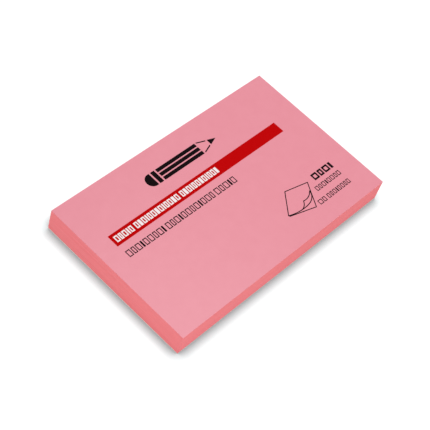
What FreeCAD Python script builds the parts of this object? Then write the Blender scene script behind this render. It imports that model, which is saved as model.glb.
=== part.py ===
import FreeCAD, Part
import math
import os

from FreeCAD import Vector

# A pad of sticky notes, lying on its backing sheet.
# Millimetres. The origin is the middle of the underside, +X runs along the print,
# +Y points to the long edge where the notes are glued, and +Z is up.

# Outline of the pad, the same for every sheet in it
PAD_LENGTH = 127.0
PAD_WIDTH = 76.0

# The stack, from the table up
BACKING_THICKNESS = 0.20
ADHESIVE_THICKNESS = 0.03
SHEET_COUNT = 100
SHEET_PITCH = 0.116
COVER_THICKNESS = 0.10
INK_THICKNESS = 0.02

# The fine line that shows between the cut edges of two notes
GROOVE_DEPTH = 0.005
GROOVE_HEIGHT = 0.03

# The glue lies in a band along the back edge and stops short of the cut edges
ADHESIVE_WIDTH = 16.0
ADHESIVE_MARGIN = 1.0

# The colour band across the cover: its place from the left end and from the glued edge
BAND_LEFT = 9.3
BAND_RIGHT = 15.6
BAND_TOP = 23.3
BAND_HEIGHT = 6.0

# Rows of plain boxes, printed in groups. A group is so long, and its boxes take turns
# through a few widths, which are shares of the widest. A box is drawn in line, and one too
# narrow to have an inside is a bar.
BOX_WIDTHS = (1.0, 0.75, 1.0, 0.4, 0.9)
LEAST_INSIDE = 0.25
GROUP_GAP = 1.3
TITLE_INDENT = 1.5
TITLE_GROUPS = (9.9, 25.4, 22.4)
TITLE_HEIGHT = 3.1
TITLE_PITCH = 1.9
TITLE_GAP = 0.45
TITLE_LINE = 0.58
SUBTITLE_INDENT = 0.5
SUBTITLE_GROUPS = (21.2, 27.9, 12.3)
SUBTITLE_HEIGHT = 3.3
SUBTITLE_PITCH = 2.25
SUBTITLE_GAP = 0.6
SUBTITLE_LINE = 0.42
SUBTITLE_DROP = 5.2

# Three rows near the front right corner, set flush to the right
ROWS_RIGHT = 12.0
HEAD_GROUPS = (12.7,)
HEAD_HEIGHT = 3.4
HEAD_PITCH = 3.2
HEAD_GAP = 0.7
HEAD_LINE = 0.85
HEAD_RISE = 20.9
SMALL_HEIGHT = 2.4
SMALL_PITCH = 1.95
SMALL_GAP = 0.55
SMALL_LINE = 0.36
SIZE_GROUPS = (16.2,)
SIZE_RISE = 15.8
COUNT_GROUPS = (4.6, 14.8)
COUNT_RISE = 10.1

# A plain pencil drawn above the band
PENCIL_LEFT = 41.0
PENCIL_MIDDLE = 13.6
PENCIL_HEIGHT = 6.6
ERASER_LENGTH = 4.2
FERRULE_LENGTH = 2.2
BARREL_LENGTH = 24.0
WOOD_LENGTH = 5.2
LEAD_LENGTH = 4.2
PENCIL_GAP = 0.8
BARREL_LINE = 0.6

# A note with a lifted corner, drawn in line. Its back left corner is measured from the
# front right corner of the cover. From there its back edge and its left edge each run so far
# along X and so far towards the front, and the note below it shows by so much.
NOTE_LEFT = 40.6
NOTE_RISE = 23.4
BACK_EDGE_RUN = 12.1
BACK_EDGE_DROP = 2.65
LEFT_EDGE_RUN = 8.3
LEFT_EDGE_DROP = 9.7
LOWER_NOTE_RUN = 1.5
LOWER_NOTE_DROP = 1.6
LINE_WIDTH = 0.42
CURVE_STEPS = 10

# Levels of the stack
BACKING_TOP = BACKING_THICKNESS
BLOCK_BOTTOM = BACKING_TOP + ADHESIVE_THICKNESS
BLOCK_TOP = BLOCK_BOTTOM + SHEET_COUNT * SHEET_PITCH
COVER_BOTTOM = BLOCK_TOP + ADHESIVE_THICKNESS
COVER_TOP = COVER_BOTTOM + COVER_THICKNESS

UP = Vector(0, 0, 1)


def from_back_left(right, down, level=COVER_TOP):
    """A point on the cover, measured from its left end and its glued edge."""
    return Vector(right - PAD_LENGTH / 2, PAD_WIDTH / 2 - down, level)


def from_front_right(left, rise, level=COVER_TOP):
    """A point on the cover, measured from its right end and its front edge."""
    return Vector(PAD_LENGTH / 2 - left, rise - PAD_WIDTH / 2, level)


def sheet(bottom, thickness):
    """One cut sheet of the pad's outline."""
    corner = Vector(-PAD_LENGTH / 2, -PAD_WIDTH / 2, bottom)
    return Part.makeBox(PAD_LENGTH, PAD_WIDTH, thickness, corner)


def glue_band(bottom):
    """The band of glue along the back edge, between two sheets."""
    length = PAD_LENGTH - 2 * ADHESIVE_MARGIN
    corner = Vector(-length / 2, PAD_WIDTH / 2 - ADHESIVE_MARGIN - ADHESIVE_WIDTH, bottom)
    return Part.makeBox(length, ADHESIVE_WIDTH, ADHESIVE_THICKNESS, corner)


def outline_at(level, inset):
    """The four corners of the pad's outline at one level, drawn in by an inset."""
    half_length = PAD_LENGTH / 2 - inset
    half_width = PAD_WIDTH / 2 - inset
    return [
        Vector(-half_length, -half_width, level),
        Vector(half_length, -half_width, level),
        Vector(half_length, half_width, level),
        Vector(-half_length, half_width, level),
    ]


def polygon_face(corners):
    """A flat face inside a row of corners."""
    return Part.Face(Part.makePolygon(corners + corners[:1]))


def note_block():
    """The notes as one block, with a fine line all round between each two."""
    rings = [outline_at(BLOCK_BOTTOM, 0)]
    for number in range(1, SHEET_COUNT):
        joint = BLOCK_BOTTOM + number * SHEET_PITCH
        rings.append(outline_at(joint - GROOVE_HEIGHT / 2, 0))
        rings.append(outline_at(joint, GROOVE_DEPTH))
        rings.append(outline_at(joint + GROOVE_HEIGHT / 2, 0))
    rings.append(outline_at(BLOCK_TOP, 0))
    faces = [polygon_face(rings[0][::-1]), polygon_face(rings[-1])]
    for lower, upper in zip(rings, rings[1:]):
        for side in range(4):
            after = (side + 1) % 4
            faces.append(polygon_face([lower[side], lower[after], upper[after], upper[side]]))
    shell = Part.makeShell(faces)
    shell.sewShape()
    return Part.makeSolid(shell)


def ink(corners):
    """A printed patch inside a row of corners, as thick as a layer of ink."""
    return polygon_face(corners).extrude(UP * INK_THICKNESS)


def rectangle(start, width, height):
    """A face that starts at a point and runs to the right, half above it."""
    half = height / 2
    return polygon_face([
        start + Vector(0, -half, 0),
        start + Vector(width, -half, 0),
        start + Vector(width, half, 0),
        start + Vector(0, half, 0),
    ])


def box(start, width, height, line):
    """A box drawn in line, or a plain bar where it is too narrow to have an inside."""
    face = rectangle(start, width, height)
    inside = width - 2 * line
    if inside > LEAST_INSIDE:
        hole = rectangle(start + Vector(line, 0, 0), inside, height - 2 * line)
        face = face.cut(hole).Faces[0]
    return face.extrude(UP * INK_THICKNESS)


def group(start, length, height, pitch, gap, line):
    """Boxes of several widths with even gaps, which together fill a length."""
    count = max(2, round(length / pitch))
    shares = [BOX_WIDTHS[number % len(BOX_WIDTHS)] for number in range(count)]
    widest = (length - (count - 1) * gap) / sum(shares)
    boxes = []
    left = 0
    for share in shares:
        boxes.append(box(start + Vector(left, 0, 0), share * widest, height, line))
        left += share * widest + gap
    return boxes


def row(start, lengths, height, pitch, gap, line):
    """The boxes of all the groups in one printed row."""
    boxes = []
    left = 0
    for length in lengths:
        boxes += group(start + Vector(left, 0, 0), length, height, pitch, gap, line)
        left += length + GROUP_GAP
    return boxes


def row_length(lengths):
    """How long a printed row is, with the gaps between its groups."""
    return sum(lengths) + (len(lengths) - 1) * GROUP_GAP


def colour_band():
    """The solid band of colour across the cover."""
    right = PAD_LENGTH - BAND_RIGHT
    return ink([
        from_back_left(BAND_LEFT, BAND_TOP + BAND_HEIGHT),
        from_back_left(right, BAND_TOP + BAND_HEIGHT),
        from_back_left(right, BAND_TOP),
        from_back_left(BAND_LEFT, BAND_TOP),
    ])


def title_row():
    """A pale row printed over the band."""
    middle = BAND_TOP + BAND_HEIGHT / 2
    start = from_back_left(BAND_LEFT + TITLE_INDENT, middle, COVER_TOP + INK_THICKNESS)
    boxes = row(start, TITLE_GROUPS, TITLE_HEIGHT, TITLE_PITCH, TITLE_GAP, TITLE_LINE)
    return Part.makeCompound(boxes)


def subtitle_row():
    """A dark row under the band."""
    middle = BAND_TOP + BAND_HEIGHT + SUBTITLE_DROP
    start = from_back_left(BAND_LEFT + SUBTITLE_INDENT, middle)
    boxes = row(
        start, SUBTITLE_GROUPS, SUBTITLE_HEIGHT, SUBTITLE_PITCH, SUBTITLE_GAP, SUBTITLE_LINE
    )
    return Part.makeCompound(boxes)


def corner_rows():
    """A heavy row and two light ones near the front right corner."""
    head = from_front_right(ROWS_RIGHT + row_length(HEAD_GROUPS), HEAD_RISE)
    size = from_front_right(ROWS_RIGHT + row_length(SIZE_GROUPS), SIZE_RISE)
    count = from_front_right(ROWS_RIGHT + row_length(COUNT_GROUPS), COUNT_RISE)
    boxes = row(head, HEAD_GROUPS, HEAD_HEIGHT, HEAD_PITCH, HEAD_GAP, HEAD_LINE)
    boxes += row(size, SIZE_GROUPS, SMALL_HEIGHT, SMALL_PITCH, SMALL_GAP, SMALL_LINE)
    boxes += row(count, COUNT_GROUPS, SMALL_HEIGHT, SMALL_PITCH, SMALL_GAP, SMALL_LINE)
    return Part.makeCompound(boxes)


def patch(left, right, lower, upper):
    """A rectangle of ink, by its distances from the left end and above the pencil's middle."""
    return ink([
        from_back_left(left, PENCIL_MIDDLE - lower),
        from_back_left(right, PENCIL_MIDDLE - lower),
        from_back_left(right, PENCIL_MIDDLE - upper),
        from_back_left(left, PENCIL_MIDDLE - upper),
    ])


def pencil_mark():
    """A plain pencil: rounded eraser, ferrule, three-sided barrel, cut wood and lead."""
    half = PENCIL_HEIGHT / 2
    eraser = eraser_patch(half)
    ferrule_left = PENCIL_LEFT + ERASER_LENGTH + PENCIL_GAP
    ferrule_right = ferrule_left + FERRULE_LENGTH
    pieces = [eraser, patch(ferrule_left, ferrule_right, -half, half)]
    barrel_left = ferrule_right + PENCIL_GAP
    barrel_right = barrel_left + BARREL_LENGTH
    strip = (PENCIL_HEIGHT - 2 * BARREL_LINE) / 3
    for number in range(3):
        lower = number * (strip + BARREL_LINE) - half
        pieces.append(patch(barrel_left, barrel_right, lower, lower + strip))
    wood_left = barrel_right + PENCIL_GAP
    lead_left = wood_left + WOOD_LENGTH
    lead_half = half * LEAD_LENGTH / (LEAD_LENGTH + WOOD_LENGTH)
    pieces += wood_outline(wood_left, lead_left, half, lead_half)
    pieces.append(ink([
        from_back_left(lead_left, PENCIL_MIDDLE + lead_half),
        from_back_left(lead_left + LEAD_LENGTH, PENCIL_MIDDLE),
        from_back_left(lead_left, PENCIL_MIDDLE - lead_half),
    ]))
    return Part.makeCompound(pieces)


def eraser_patch(half):
    """The pencil's eraser, round at its free end."""
    left = PENCIL_LEFT
    right = PENCIL_LEFT + ERASER_LENGTH
    shoulder = left + min(half, ERASER_LENGTH)
    edges = [
        Part.Arc(
            from_back_left(shoulder, PENCIL_MIDDLE - half),
            from_back_left(left, PENCIL_MIDDLE),
            from_back_left(shoulder, PENCIL_MIDDLE + half),
        ).toShape(),
        Part.makePolygon([
            from_back_left(shoulder, PENCIL_MIDDLE + half),
            from_back_left(right, PENCIL_MIDDLE + half),
            from_back_left(right, PENCIL_MIDDLE - half),
            from_back_left(shoulder, PENCIL_MIDDLE - half),
        ]),
    ]
    return Part.Face(Part.Wire(edges)).extrude(UP * INK_THICKNESS)


def wood_outline(left, right, half, lead_half):
    """The two slanting edges of the sharpened wood, drawn as lines of ink."""
    lines = []
    for side in (-1, 1):
        corners = [
            from_back_left(left, PENCIL_MIDDLE + side * half),
            from_back_left(left, PENCIL_MIDDLE + side * (half - BARREL_LINE)),
            from_back_left(right - PENCIL_GAP, PENCIL_MIDDLE + side * (lead_half - BARREL_LINE / 2)),
            from_back_left(right - PENCIL_GAP, PENCIL_MIDDLE + side * (lead_half + BARREL_LINE / 2)),
        ]
        # Both outlines are taken the same way round, so that both faces look up.
        lines.append(ink(corners[::side]))
    return lines


def curve(start, pull, end):
    """Points along a smooth curve that leaves and ends towards one pulling point."""
    points = []
    for step in range(CURVE_STEPS + 1):
        share = step / CURVE_STEPS
        points.append(
            start * (1 - share) ** 2 + pull * (2 * share * (1 - share)) + end * share ** 2
        )
    return points


def stroke(points):
    """A line of ink along a row of points, with round ends."""
    left = []
    right = []
    for index, point in enumerate(points):
        before = points[max(index - 1, 0)]
        after = points[min(index + 1, len(points) - 1)]
        heading = math.atan2(after.y - before.y, after.x - before.x)
        across = Vector(-math.sin(heading), math.cos(heading), 0) * (LINE_WIDTH / 2)
        left.append(point + across)
        right.append(point - across)
    line = ink(right + left[::-1])
    ends = [Part.makeCylinder(LINE_WIDTH / 2, INK_THICKNESS, end) for end in (points[0], points[-1])]
    return line.multiFuse(ends)


def note_point(across, down):
    """A point of the drawn note, in shares of its back edge and its left edge."""
    corner = from_front_right(NOTE_LEFT, NOTE_RISE)
    back_edge = Vector(BACK_EDGE_RUN, -BACK_EDGE_DROP, 0)
    left_edge = Vector(-LEFT_EDGE_RUN, -LEFT_EDGE_DROP, 0)
    return corner + back_edge * across + left_edge * down


def note_mark():
    """A note with its front right corner curled up from the one below, in line."""
    back_left = note_point(0, 0)
    back_right = note_point(1, 0)
    front_left = note_point(0, 1)
    lower_left = note_point(0.05, 1.04)
    lower_right = note_point(1, 1) + Vector(LOWER_NOTE_RUN, -LOWER_NOTE_DROP, 0)
    lift = note_point(0.62, 0.98)
    side = note_point(1.03, 0.37)
    tip = note_point(0.71, 0.67)
    lines = [
        [back_left, back_right],
        [back_left, front_left],
        [back_right, lower_right],
        [lower_left, lower_right],
        curve(front_left, note_point(0.4, 1.04), lift),
        curve(lift, note_point(0.75, 0.88), tip),
        curve(tip, note_point(1.0, 0.66), side),
        curve(lift, note_point(1.25, 0.86), side),
    ]
    strokes = [stroke(line) for line in lines]
    return strokes[0].multiFuse(strokes[1:]).removeSplitter()


def save(name, shape):
    """Write one piece of the pad."""
    shape.exportStep(f"parts/{name}.step")


def main():
    """Build every piece in its place in the pad."""
    os.makedirs("parts", exist_ok=True)
    save("backing_sheet", sheet(0, BACKING_THICKNESS))
    save("base_adhesive", glue_band(BACKING_TOP))
    save("note_block", note_block())
    save("cover_adhesive", glue_band(BLOCK_TOP))
    save("cover_sheet", sheet(COVER_BOTTOM, COVER_THICKNESS))
    save("colour_band", colour_band())
    save("title_row", title_row())
    save("subtitle_row", subtitle_row())
    save("corner_rows", corner_rows())
    save("pencil_mark", pencil_mark())
    save("note_mark", note_mark())


main()
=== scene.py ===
"""Dresses a pad of sticky notes and sets it on a pale floor under soft light."""

import logging
import math
import random
from dataclasses import dataclass
from enum import Enum
from typing import Any

import bpy
from mathutils import Matrix, Vector


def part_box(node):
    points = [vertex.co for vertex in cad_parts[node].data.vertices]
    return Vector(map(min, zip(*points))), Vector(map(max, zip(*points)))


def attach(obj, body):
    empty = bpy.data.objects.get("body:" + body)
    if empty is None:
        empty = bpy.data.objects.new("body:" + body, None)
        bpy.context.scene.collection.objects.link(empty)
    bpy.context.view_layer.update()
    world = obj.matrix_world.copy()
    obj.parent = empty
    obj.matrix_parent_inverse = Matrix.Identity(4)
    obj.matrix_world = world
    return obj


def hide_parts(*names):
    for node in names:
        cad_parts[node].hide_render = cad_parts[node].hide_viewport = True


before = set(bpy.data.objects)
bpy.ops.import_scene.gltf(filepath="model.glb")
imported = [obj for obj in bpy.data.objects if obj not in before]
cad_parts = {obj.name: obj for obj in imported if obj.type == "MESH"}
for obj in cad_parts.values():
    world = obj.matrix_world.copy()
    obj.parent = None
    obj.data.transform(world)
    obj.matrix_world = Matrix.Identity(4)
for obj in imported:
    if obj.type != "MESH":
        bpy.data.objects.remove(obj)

Tree = bpy.types.NodeTree
Socket = bpy.types.NodeSocket

LOG = logging.getLogger("sticky_note_pad")
MM = 0.001
BODY = "root"
IMAGE_SIDE_PX = 430
WHITE = "#FFFFFF"

# A soft random pattern is nearly all between these two values.
PATTERN_SPAN = {"From Min": 0.3, "From Max": 0.7}

# A Mix node's sockets for colours go by number, because others on it share their names.
MIX_SHARE = 0
MIX_FIRST = 6
MIX_SECOND = 7
MIX_COLOUR = 2

# How far a tuft of the cover's fibres runs each way. Real fibres are about 0.03 mm wide,
# too fine to show here, so they are drawn some five times coarser.
FIBRE_MM = (0.55, 0.16, 0.16)


def linear(colour: str) -> tuple[float, float, float, float]:
    """Turn an sRGB hex colour into the linear colour that a shader socket takes.

    Args:
        colour: Six hex digits after a hash sign.

    Returns:
        Red, green, blue and an alpha of one.
    """
    channels = []
    for start in (1, 3, 5):
        value = int(colour[start:start + 2], 16) / 255
        channels.append(value / 12.92 if value <= 0.04045 else ((value + 0.055) / 1.055) ** 2.4)
    return (channels[0], channels[1], channels[2], 1.0)


def per_metre(size_mm: float) -> float:
    """Return the texture scale at which one feature is so many millimetres across."""
    return 1.0 / (size_mm * MM)


def add_node(
    tree: Tree,
    kind: str,
    inputs: dict[str | int, Any] | None = None,
    **settings: Any,
) -> bpy.types.Node:
    """Add a node, choose its settings, and give its inputs values or links.

    Args:
        tree: The node tree that takes the node.
        kind: The node's type, such as ShaderNodeTexNoise.
        inputs: A value or another node's output for each named or numbered input.
        **settings: The node's own properties.

    Returns:
        The new node.
    """
    node = tree.nodes.new(kind)
    for name, value in settings.items():
        setattr(node, name, value)
    for key, value in (inputs or {}).items():
        if isinstance(value, Socket):
            tree.links.new(value, node.inputs[key])
        else:
            node.inputs[key].default_value = value
    return node


def seen_directly(tree: Tree) -> Socket:
    """Tell rays that show the surroundings as a picture from rays that light the pad.

    Args:
        tree: The node tree that takes the nodes.

    Returns:
        One for camera rays, mirror rays and rays that passed through something clear.
    """
    path = add_node(tree, "ShaderNodeLightPath")
    seen = path.outputs["Is Camera Ray"]
    for ray in ("Is Glossy Ray", "Is Transmission Ray"):
        either = add_node(tree, "ShaderNodeMath", {0: seen, 1: path.outputs[ray]}, operation="MAXIMUM")
        seen = either.outputs["Value"]
    return seen


@dataclass(frozen=True)
class Finish:
    """What every finish shares: a name, and a shader that reads the piece's own place."""

    name: str

    def material(self) -> bpy.types.Material:
        """Make a new material with this finish.

        Returns:
            The material, with its nodes in place.
        """
        made = bpy.data.materials.new(self.name)
        made.use_nodes = True
        tree = made.node_tree
        tree.nodes.clear()
        place = add_node(tree, "ShaderNodeTexCoord").outputs["Object"]
        surface = self.surface(tree, place)
        add_node(tree, "ShaderNodeOutputMaterial", {"Surface": surface})
        return made

    def surface(self, tree: Tree, place: Socket) -> Socket:
        """Build the shader. Each finish has its own."""
        raise NotImplementedError

    @staticmethod
    def grain(tree: Tree, place: Socket, size_mm: tuple[float, float, float], detail: float) -> Socket:
        """Lay out a soft random pattern whose features have a real size along each axis.

        Args:
            tree: The material's node tree.
            place: The piece's own coordinates, in metres.
            size_mm: How far a feature runs along X, Y and Z.
            detail: How many finer layers lie over the first.

        Returns:
            The pattern, from about 0.3 where it is low to about 0.7 where it is high.
        """
        scale = tuple(per_metre(size) for size in size_mm)
        sized = add_node(tree, "ShaderNodeMapping", {"Vector": place, "Scale": scale})
        noise = add_node(
            tree,
            "ShaderNodeTexNoise",
            {"Vector": sized.outputs["Vector"], "Scale": 1.0, "Detail": detail, "Roughness": 0.55},
        )
        return noise.outputs["Fac"]

    @staticmethod
    def clouded(tree: Tree, pattern: Socket, first: str, second: str) -> Socket:
        """Let a colour wander between two shades with a soft random pattern.

        Args:
            tree: The material's node tree.
            pattern: The pattern.
            first: The sRGB colour where the pattern is low.
            second: The sRGB colour where the pattern is high.

        Returns:
            The colour at each place.
        """
        share = add_node(tree, "ShaderNodeMapRange", {"Value": pattern, **PATTERN_SPAN})
        mix = add_node(
            tree,
            "ShaderNodeMix",
            {MIX_SHARE: share.outputs["Result"], MIX_FIRST: linear(first), MIX_SECOND: linear(second)},
            data_type="RGBA",
        )
        return mix.outputs[MIX_COLOUR]


@dataclass(frozen=True)
class DyedPaper(Finish):
    """Wood-free offset paper, dyed in the pulp, sized with starch and lightly calendered.

    The eye gets a soft even colour with faint clouds, where the fibres lie more or less
    thickly, a fine tooth, and the satin sheen of the smoothed size over it.
    """

    light: str = "#EB919F"
    deep: str = "#E98E9C"
    cloud_mm: float = 5.0
    tooth_mm: float = 0.006
    smoothest: float = 0.82
    roughest: float = 0.94
    index: float = 1.47
    gloss: float = 0.1
    fuzz_share: float = 0.06
    fuzz_roughness: float = 0.6
    size_share: float = 0.6
    size_roughness: float = 0.32

    def surface(self, tree: Tree, place: Socket) -> Socket:
        """Build the shader of the cover: clouds in colour and fibres in relief.

        Args:
            tree: The material's node tree.
            place: The piece's own coordinates, in metres.

        Returns:
            The shader's output.
        """
        cloud = self.grain(tree, place, (self.cloud_mm,) * 3, detail=3.0)
        fibre = self.grain(tree, place, FIBRE_MM, detail=4.0)
        rough = add_node(
            tree,
            "ShaderNodeMapRange",
            {"Value": fibre, **PATTERN_SPAN, "To Min": self.smoothest, "To Max": self.roughest},
        )
        tooth = add_node(tree, "ShaderNodeBump", {"Height": fibre, "Distance": self.tooth_mm * MM})
        shader = add_node(
            tree,
            "ShaderNodeBsdfPrincipled",
            {
                "Base Color": self.clouded(tree, cloud, self.light, self.deep),
                "Roughness": rough.outputs["Result"],
                "IOR": self.index,
                "Specular IOR Level": self.gloss,
                "Sheen Weight": self.fuzz_share,
                "Sheen Roughness": self.fuzz_roughness,
                "Coat Weight": self.size_share,
                "Coat Roughness": self.size_roughness,
                "Normal": tooth.outputs["Normal"],
            },
        )
        return shader.outputs["BSDF"]


@dataclass(frozen=True)
class CutEdges(Finish):
    """The guillotined edges of a hundred sheets of dyed paper, seen side on.

    Light bounces between the sheets and comes back deeper in colour than from a sheet's
    face. Runs of sheets differ a little in tone, and each sheet is a fine line. One sheet
    is about 0.12 mm thick, too fine to show from a step away, so the tone is drawn in
    streaks some three sheets thick.
    """

    light: str = "#F88F93"
    deep: str = "#F18086"
    streak_mm: tuple[float, float, float] = (34.0, 34.0, 0.36)
    sheet_mm: tuple[float, float, float] = (9.0, 9.0, 0.116)
    blade_mm: tuple[float, float, float] = (0.5, 0.5, 14.0)
    sheet_depth_mm: float = 0.012
    blade_depth_mm: float = 0.004
    smoothest: float = 0.84
    roughest: float = 0.95
    index: float = 1.47
    gloss: float = 0.3

    def surface(self, tree: Tree, place: Socket) -> Socket:
        """Build the shader of the edges: streaks in colour, sheets and blade marks in relief.

        Args:
            tree: The material's node tree.
            place: The piece's own coordinates, in metres.

        Returns:
            The shader's output.
        """
        streak = self.grain(tree, place, self.streak_mm, detail=2.0)
        sheets = self.grain(tree, place, self.sheet_mm, detail=1.0)
        blade = self.grain(tree, place, self.blade_mm, detail=1.0)
        rough = add_node(
            tree,
            "ShaderNodeMapRange",
            {"Value": sheets, **PATTERN_SPAN, "To Min": self.smoothest, "To Max": self.roughest},
        )
        lines = add_node(
            tree, "ShaderNodeBump", {"Height": sheets, "Distance": self.sheet_depth_mm * MM}
        )
        marks = add_node(
            tree,
            "ShaderNodeBump",
            {
                "Height": blade,
                "Distance": self.blade_depth_mm * MM,
                "Normal": lines.outputs["Normal"],
            },
        )
        shader = add_node(
            tree,
            "ShaderNodeBsdfPrincipled",
            {
                "Base Color": self.clouded(tree, streak, self.light, self.deep),
                "Roughness": rough.outputs["Result"],
                "IOR": self.index,
                "Specular IOR Level": self.gloss,
                "Normal": marks.outputs["Normal"],
            },
        )
        return shader.outputs["BSDF"]


class InkColour(Enum):
    """The three inks on the cover, each where it lies full and where it lies thin."""

    RED = ("#C00002", "#C60508")
    PALE = ("#FCF8F8", "#F8EBEC")
    DARK = ("#0E0709", "#190E11")


@dataclass(frozen=True)
class OffsetInk(Finish):
    """Offset ink dried into uncoated paper.

    It lies in the paper's tooth and is a little smoother than the bare sheet. Where the
    fibres took less of it, the colour is a shade nearer to the paper's.
    """

    colour: InkColour
    mottle_mm: float = 0.45
    tooth_mm: float = 0.003
    smoothest: float = 0.7
    roughest: float = 0.84
    index: float = 1.5
    gloss: float = 0.03

    def surface(self, tree: Tree, place: Socket) -> Socket:
        """Build the shader of an ink: mottle in colour and the paper's fibres in relief.

        Args:
            tree: The material's node tree.
            place: The piece's own coordinates, in metres.

        Returns:
            The shader's output.
        """
        full, thin = self.colour.value
        mottle = self.grain(tree, place, (self.mottle_mm,) * 3, detail=3.0)
        fibre = self.grain(tree, place, FIBRE_MM, detail=4.0)
        rough = add_node(
            tree,
            "ShaderNodeMapRange",
            {"Value": fibre, **PATTERN_SPAN, "To Min": self.smoothest, "To Max": self.roughest},
        )
        tooth = add_node(tree, "ShaderNodeBump", {"Height": fibre, "Distance": self.tooth_mm * MM})
        shader = add_node(
            tree,
            "ShaderNodeBsdfPrincipled",
            {
                "Base Color": self.clouded(tree, mottle, full, thin),
                "Roughness": rough.outputs["Result"],
                "IOR": self.index,
                "Specular IOR Level": self.gloss,
                "Normal": tooth.outputs["Normal"],
            },
        )
        return shader.outputs["BSDF"]


@dataclass(frozen=True)
class ReleasePaper(Finish):
    """Supercalendered base paper with a cured silicone coat on its upper side.

    It is smooth and faintly glossy, off-white, and slightly cloudy against the light.
    """

    light: str = "#F4F1E8"
    deep: str = "#EBE7DA"
    cloud_mm: float = 3.2
    ripple_mm: float = 0.9
    ripple_depth_mm: float = 0.003
    smoothest: float = 0.36
    roughest: float = 0.5
    index: float = 1.46
    silicone_share: float = 0.12
    silicone_roughness: float = 0.3

    def surface(self, tree: Tree, place: Socket) -> Socket:
        """Build the shader of the backing sheet: clouds in colour and ripples in relief.

        Args:
            tree: The material's node tree.
            place: The piece's own coordinates, in metres.

        Returns:
            The shader's output.
        """
        cloud = self.grain(tree, place, (self.cloud_mm,) * 3, detail=4.0)
        ripple = self.grain(tree, place, (self.ripple_mm,) * 3, detail=3.0)
        rough = add_node(
            tree,
            "ShaderNodeMapRange",
            {"Value": ripple, **PATTERN_SPAN, "To Min": self.smoothest, "To Max": self.roughest},
        )
        uneven = add_node(
            tree, "ShaderNodeBump", {"Height": ripple, "Distance": self.ripple_depth_mm * MM}
        )
        shader = add_node(
            tree,
            "ShaderNodeBsdfPrincipled",
            {
                "Base Color": self.clouded(tree, cloud, self.light, self.deep),
                "Roughness": rough.outputs["Result"],
                "IOR": self.index,
                "Coat Weight": self.silicone_share,
                "Coat Roughness": self.silicone_roughness,
                "Normal": uneven.outputs["Normal"],
            },
        )
        return shader.outputs["BSDF"]


@dataclass(frozen=True)
class TackyFilm(Finish):
    """Acrylic microsphere adhesive, coated in a thin band and left tacky.

    The spheres stand up out of the film like fine grit. Real ones are about 0.05 mm
    across, too fine to show here, so they are drawn more than twice as large.
    """

    sphere: str = "#F0D3CF"
    film: str = "#E3BDB8"
    sphere_mm: float = 0.12
    sphere_height_mm: float = 0.02
    smoothest: float = 0.28
    roughest: float = 0.45
    index: float = 1.48

    def surface(self, tree: Tree, place: Socket) -> Socket:
        """Build the shader of a glue band: round grains in colour and in relief.

        Args:
            tree: The material's node tree.
            place: The piece's own coordinates, in metres.

        Returns:
            The shader's output.
        """
        scale = (per_metre(self.sphere_mm),) * 3
        sized = add_node(tree, "ShaderNodeMapping", {"Vector": place, "Scale": scale})
        cells = add_node(tree, "ShaderNodeTexVoronoi", {"Vector": sized.outputs["Vector"], "Scale": 1.0})
        from_middle = cells.outputs["Distance"]
        colour = add_node(
            tree,
            "ShaderNodeMix",
            {MIX_SHARE: from_middle, MIX_FIRST: linear(self.sphere), MIX_SECOND: linear(self.film)},
            data_type="RGBA",
        )
        rough = add_node(
            tree,
            "ShaderNodeMapRange",
            {"Value": from_middle, **PATTERN_SPAN, "To Min": self.smoothest, "To Max": self.roughest},
        )
        grit = add_node(
            tree, "ShaderNodeBump", {"Height": from_middle, "Distance": -self.sphere_height_mm * MM}
        )
        shader = add_node(
            tree,
            "ShaderNodeBsdfPrincipled",
            {
                "Base Color": colour.outputs[MIX_COLOUR],
                "Roughness": rough.outputs["Result"],
                "IOR": self.index,
                "Normal": grit.outputs["Normal"],
            },
        )
        return shader.outputs["BSDF"]


@dataclass(frozen=True)
class StudioFloor(Finish):
    """A plain white card floor that keeps the pad's shadow.

    It lights the pad as white card does. Seen directly, it is for the most part a plain
    white glow, with a painted shadow that greys it where the pad stands close over it.
    The rest is the real light and shadow on a cooler grey, where the pink light off the
    cut edges turns grey too.
    """

    card: str = "#F2F2F2"
    seen_card: str = "#7C9798"
    white: str = "#FFF8F8"
    white_share: float = 0.92
    # Painted shadow: the glow's share at the foot of the pad, how far out the shadow reaches, the
    # openness at which it is deepest, and the rays that measure that openness.
    painted_shadow_share: float = 0.2
    painted_shadow_mm: float = 6.0
    painted_shadow_openness: float = 0.5
    painted_shadow_samples: int = 16

    def surface(self, tree: Tree, place: Socket) -> Socket:
        """Build the shader of the floor: matt card, and a glow where it is seen directly, which
        a painted shadow dims where the pad stands close over the floor.

        Args:
            tree: The material's node tree.
            place: The floor's own coordinates, which stay unused.

        Returns:
            The shader's output.
        """
        seen = seen_directly(tree)
        # Painted shadow: the less open sky the floor has within a few millimetres, the dimmer its glow,
        # so it greys where the pad stands close over it.
        openness = add_node(
            tree,
            "ShaderNodeAmbientOcclusion",
            {"Distance": self.painted_shadow_mm * MM},
            samples=self.painted_shadow_samples,
        )
        white = add_node(
            tree,
            "ShaderNodeMapRange",
            {
                "Value": openness.outputs["AO"],
                "From Min": self.painted_shadow_openness,
                "To Min": self.painted_shadow_share,
                "To Max": self.white_share,
            },
        )
        strength = add_node(
            tree, "ShaderNodeMath", {0: seen, 1: white.outputs["Result"]}, operation="MULTIPLY"
        )
        glow = add_node(
            tree,
            "ShaderNodeEmission",
            {"Color": linear(self.white), "Strength": strength.outputs["Value"]},
        )
        colour = add_node(
            tree,
            "ShaderNodeMix",
            {MIX_SHARE: seen, MIX_FIRST: linear(self.card), MIX_SECOND: linear(self.seen_card)},
            data_type="RGBA",
        )
        matt = add_node(tree, "ShaderNodeBsdfDiffuse", {"Color": colour.outputs[MIX_COLOUR]})
        both = add_node(
            tree, "ShaderNodeAddShader", {0: matt.outputs["BSDF"], 1: glow.outputs["Emission"]}
        )
        return both.outputs["Shader"]


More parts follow.
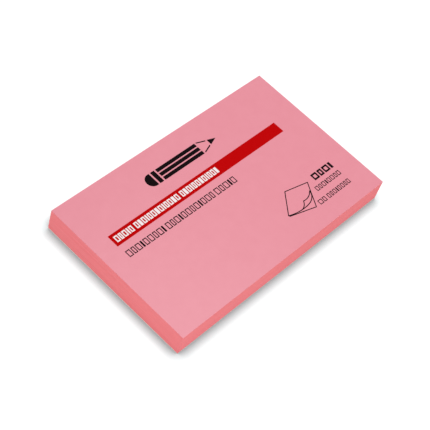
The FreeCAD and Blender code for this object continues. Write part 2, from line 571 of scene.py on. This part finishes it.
def deselect_all() -> None:
    """Leave nothing selected, so that an operator acts only on what is added or chosen next."""
    bpy.ops.object.select_all(action="DESELECT")


def apply_place(piece: bpy.types.Object) -> None:
    """Put a piece's place, turn and size into its mesh and leave the object at the origin.

    Args:
        piece: The piece, which is made active and selected alone.
    """
    deselect_all()
    piece.select_set(True)
    bpy.context.view_layer.objects.active = piece
    bpy.ops.object.transform_apply(location=True, rotation=True, scale=True)


def dress(node: str, finish: Finish) -> None:
    """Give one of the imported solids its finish.

    Args:
        node: The solid's name.
        finish: What it is made of.
    """
    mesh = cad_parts[node].data
    mesh.materials.clear()
    mesh.materials.append(finish.material())
    LOG.info("%s: %s", node, finish.name)


@dataclass
class NoteBlock:
    """The hundred notes between the backing sheet and the cover, as one closed stack.

    The sheets were cut together and then handled, so they lie a hair out of line. They
    moved in runs of a few sheets, and each one has a little play of its own. The cut left
    each edge slightly round, so there is a fine open joint between every two sheets.
    """

    sheet_count: int = 100
    edge_rise_mm: float = 0.034
    joint_depth_mm: float = 0.024
    run_lengths: tuple[int, int] = (4, 13)
    run_play_mm: float = 0.05
    sheet_play_mm: float = 0.009
    seed: int = 7
    paper: CutEdges = CutEdges("dyed paper, guillotined edges")

    def build(self) -> None:
        """Model the stack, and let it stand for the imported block."""
        low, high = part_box("note_block")
        block = self.lay_outline(low, high)
        self.raise_sheets(low, high)
        block.data.materials.clear()
        block.data.materials.append(self.paper.material())
        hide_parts("note_block")
        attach(block, BODY)
        LOG.info("%s: %d sheets, %s", block.name, self.sheet_count, self.paper.name)

    def lay_outline(self, low: Vector, high: Vector) -> bpy.types.Object:
        """Lay the underside of the lowest sheet, drawn in by the depth of a joint.

        Args:
            low: The block's lowest corner.
            high: The block's highest corner.

        Returns:
            The flat outline, which the sheets are raised from.
        """
        size = high - low
        middle = (low + high) / 2
        drawn_in = 2 * self.joint_depth_mm * MM
        deselect_all()
        bpy.ops.mesh.primitive_plane_add(size=1.0, location=(middle.x, middle.y, low.z))
        block = bpy.context.object
        block.name = "note_sheets"
        block.data.name = "note_sheets"
        block.scale = (size.x - drawn_in, size.y - drawn_in, 1.0)
        apply_place(block)
        return block

    def raise_sheets(self, low: Vector, high: Vector) -> None:
        """Raise the sheets one by one from the outline, by extruding and insetting its face.

        Args:
            low: The block's lowest corner.
            high: The block's highest corner.
        """
        size = high - low
        drawn_in = 2 * self.joint_depth_mm * MM
        grow = (size.x / (size.x - drawn_in), size.y / (size.y - drawn_in), 1.0)
        rise = self.edge_rise_mm * MM
        straight = size.z / self.sheet_count - 2 * rise
        place = (low + high) / 2
        bpy.ops.object.mode_set(mode="EDIT")
        bpy.ops.mesh.select_mode(type="FACE")
        bpy.ops.mesh.select_all(action="SELECT")
        for after in self.sheet_middles(place):
            step = after - place
            self.extrude(Vector((step.x, step.y, rise)))
            bpy.ops.transform.resize(value=grow, center_override=after)
            self.extrude(Vector((0, 0, straight)))
            bpy.ops.mesh.inset(thickness=self.joint_depth_mm * MM, depth=rise)
            place = after
        bpy.ops.mesh.select_all(action="SELECT")
        bpy.ops.mesh.normals_make_consistent(inside=False)
        bpy.ops.object.mode_set(mode="OBJECT")

    def sheet_middles(self, middle: Vector) -> list[Vector]:
        """Say where the middle of each sheet comes to lie, with its run's play and its own.

        Args:
            middle: Where it would lie in a stack that is quite true.

        Returns:
            One place for each sheet, from the lowest up.
        """
        chance = random.Random(self.seed)
        middles = []
        left_in_run = 0
        run_shift = Vector((0, 0, 0))
        for _ in range(self.sheet_count):
            if left_in_run == 0:
                left_in_run = chance.randint(*self.run_lengths)
                run_shift = self.play(chance, self.run_play_mm)
            left_in_run -= 1
            middles.append(middle + run_shift + self.play(chance, self.sheet_play_mm))
        return middles

    @staticmethod
    def extrude(step: Vector) -> None:
        """Extrude the selected face by a step."""
        bpy.ops.mesh.extrude_region_move(TRANSFORM_OT_translate={"value": step})

    @staticmethod
    def play(chance: random.Random, most_mm: float) -> Vector:
        """Return a small random step across the stack, at most so many millimetres each way."""
        return Vector((chance.uniform(-1, 1), chance.uniform(-1, 1), 0)) * (most_mm * MM)


@dataclass
class Backing:
    """The release sheet under the last note, and the glue band that holds the note to it."""

    sheet: ReleasePaper = ReleasePaper("silicone release paper")
    glue: TackyFilm = TackyFilm("microsphere adhesive, lower")

    def build(self) -> None:
        """Dress the two solids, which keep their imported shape."""
        dress("backing_sheet", self.sheet)
        dress("base_adhesive", self.glue)


@dataclass
class Cover:
    """The printed sheet on top, its glue band, and every layer of ink on it."""

    sheet: DyedPaper = DyedPaper("dyed offset paper")
    glue: TackyFilm = TackyFilm("microsphere adhesive, upper")
    red: OffsetInk = OffsetInk("offset ink, red", InkColour.RED)
    pale: OffsetInk = OffsetInk("offset ink, white", InkColour.PALE)
    dark: OffsetInk = OffsetInk("offset ink, black", InkColour.DARK)
    dark_marks: tuple[str, ...] = ("subtitle_row", "corner_rows", "pencil_mark", "note_mark")

    def build(self) -> None:
        """Dress the sheet, its glue and its print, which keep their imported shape."""
        dress("cover_sheet", self.sheet)
        dress("cover_adhesive", self.glue)
        dress("colour_band", self.red)
        dress("title_row", self.pale)
        for mark in self.dark_marks:
            dress(mark, self.dark)


def direction(azimuth_deg: float, elevation_deg: float) -> Vector:
    """Point from the pad to a place round it.

    Args:
        azimuth_deg: Nought is in front of the pad, towards -Y, and 90 is towards +X.
        elevation_deg: The height above the floor.

    Returns:
        A vector of length one.
    """
    turn = math.radians(azimuth_deg)
    rise = math.radians(elevation_deg)
    return Vector((
        math.sin(turn) * math.cos(rise),
        -math.cos(turn) * math.cos(rise),
        math.sin(rise),
    ))


@dataclass(frozen=True)
class SoftLight:
    """A square soft box that points at the pad.

    Its level is what it adds to a white sheet that faces it, where one is plain white.
    """

    name: str
    azimuth_deg: float
    elevation_deg: float
    distance_m: float
    side_m: float
    level: float

    def build(self, aim: Vector) -> None:
        """Hang the light and turn it to the pad.

        Args:
            aim: The point that it is turned to.
        """
        lamp = bpy.data.lights.new(self.name, "AREA")
        lamp.shape = "SQUARE"
        lamp.size = self.side_m
        # A white sheet at distance d that faces a lamp of power P shows P / (pi d) ** 2.
        lamp.energy = self.level * math.pi ** 2 * self.distance_m ** 2
        holder = bpy.data.objects.new(self.name, lamp)
        bpy.context.scene.collection.objects.link(holder)
        back = direction(self.azimuth_deg, self.elevation_deg)
        holder.location = aim + back * self.distance_m
        holder.rotation_euler = (-back).to_track_quat("-Z", "Y").to_euler()
        LOG.info("light %s at level %.2f", self.name, self.level)


@dataclass(frozen=True)
class Camera:
    """The camera at the photograph's viewing angle.

    It looks from its direction towards the origin. It is rolled about that line and moved
    aside, to the right and up in the picture, by its offset. What is nearer to it than a
    share of its distance isn't drawn.
    """

    azimuth_deg: float = -62.0
    elevation_deg: float = 51.4
    roll_deg: float = 20.0
    distance_mm: float = 542.5
    offset_mm: tuple[float, float] = (-1.47, -1.19)
    focal_px: float = 1268.0
    sensor_mm: float = 36.0
    nearest_share: float = 0.05

    def build(self) -> None:
        """Place the camera, and let the scene be seen through it."""
        back = direction(self.azimuth_deg, self.elevation_deg)
        turn = math.radians(self.azimuth_deg)
        roll = math.radians(self.roll_deg)
        level_right = Vector((math.cos(turn), math.sin(turn), 0))
        level_up = back.cross(level_right)
        right = level_right * math.cos(roll) + level_up * math.sin(roll)
        up = back.cross(right)
        aside, higher = self.offset_mm
        place = (back * self.distance_mm + right * aside + up * higher) * MM
        lens = bpy.data.cameras.new("camera")
        lens.sensor_width = self.sensor_mm
        lens.lens = self.focal_px * self.sensor_mm / IMAGE_SIDE_PX
        lens.clip_start = self.distance_mm * MM * self.nearest_share
        camera = bpy.data.objects.new("camera", lens)
        bpy.context.scene.collection.objects.link(camera)
        camera.matrix_world = Matrix((
            (right.x, up.x, back.x, place.x),
            (right.y, up.y, back.y, place.y),
            (right.z, up.z, back.z, place.z),
            (0, 0, 0, 1),
        ))
        bpy.context.scene.camera = camera


@dataclass
class Studio:
    """The floor, the even sky, two soft boxes and the camera."""

    floor_side_m: float = 4.0
    sky_level: float = 0.51
    white_level: float = 1.0
    floor: StudioFloor = StudioFloor("white studio floor")
    lights: tuple[SoftLight, ...] = (
        SoftLight("front_box", -46.0, 27.0, distance_m=1.0, side_m=0.64, level=0.39),
        SoftLight("back_box", 112.0, 70.0, distance_m=0.6, side_m=0.26, level=0.32),
    )
    camera: Camera = Camera()

    def build(self) -> None:
        """Set up the floor, the light and the camera, and plain colour handling."""
        self.build_floor()
        self.build_sky()
        for light in self.lights:
            light.build(Vector((0, 0, 0)))
        self.camera.build()
        bpy.context.scene.view_settings.view_transform = "Standard"

    def build_floor(self) -> None:
        """Lay the floor under the pad."""
        deselect_all()
        bpy.ops.mesh.primitive_plane_add(size=self.floor_side_m, location=(0, 0, 0))
        floor = bpy.context.object
        floor.name = "studio_floor"
        floor.data.materials.append(self.floor.material())

    def build_sky(self) -> None:
        """Light the scene evenly from all round, and show plain white where the camera looks."""
        world = bpy.data.worlds.new("studio")
        world.use_nodes = True
        bpy.context.scene.world = world
        tree = world.node_tree
        tree.nodes.clear()
        colour = linear(WHITE)
        light = add_node(tree, "ShaderNodeBackground", {"Strength": self.sky_level, "Color": colour})
        white = add_node(tree, "ShaderNodeBackground", {"Strength": self.white_level, "Color": colour})
        mixed = add_node(
            tree,
            "ShaderNodeMixShader",
            {0: seen_directly(tree), 1: light.outputs["Background"], 2: white.outputs["Background"]},
        )
        add_node(tree, "ShaderNodeOutputWorld", {"Surface": mixed.outputs["Shader"]})


def main() -> None:
    """Build the pad's pieces in order, then the studio."""
    logging.basicConfig(level=logging.INFO, format="%(message)s")
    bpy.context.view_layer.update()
    Backing().build()
    NoteBlock().build()
    Cover().build()
    Studio().build()


if __name__ == "__main__":
    main()
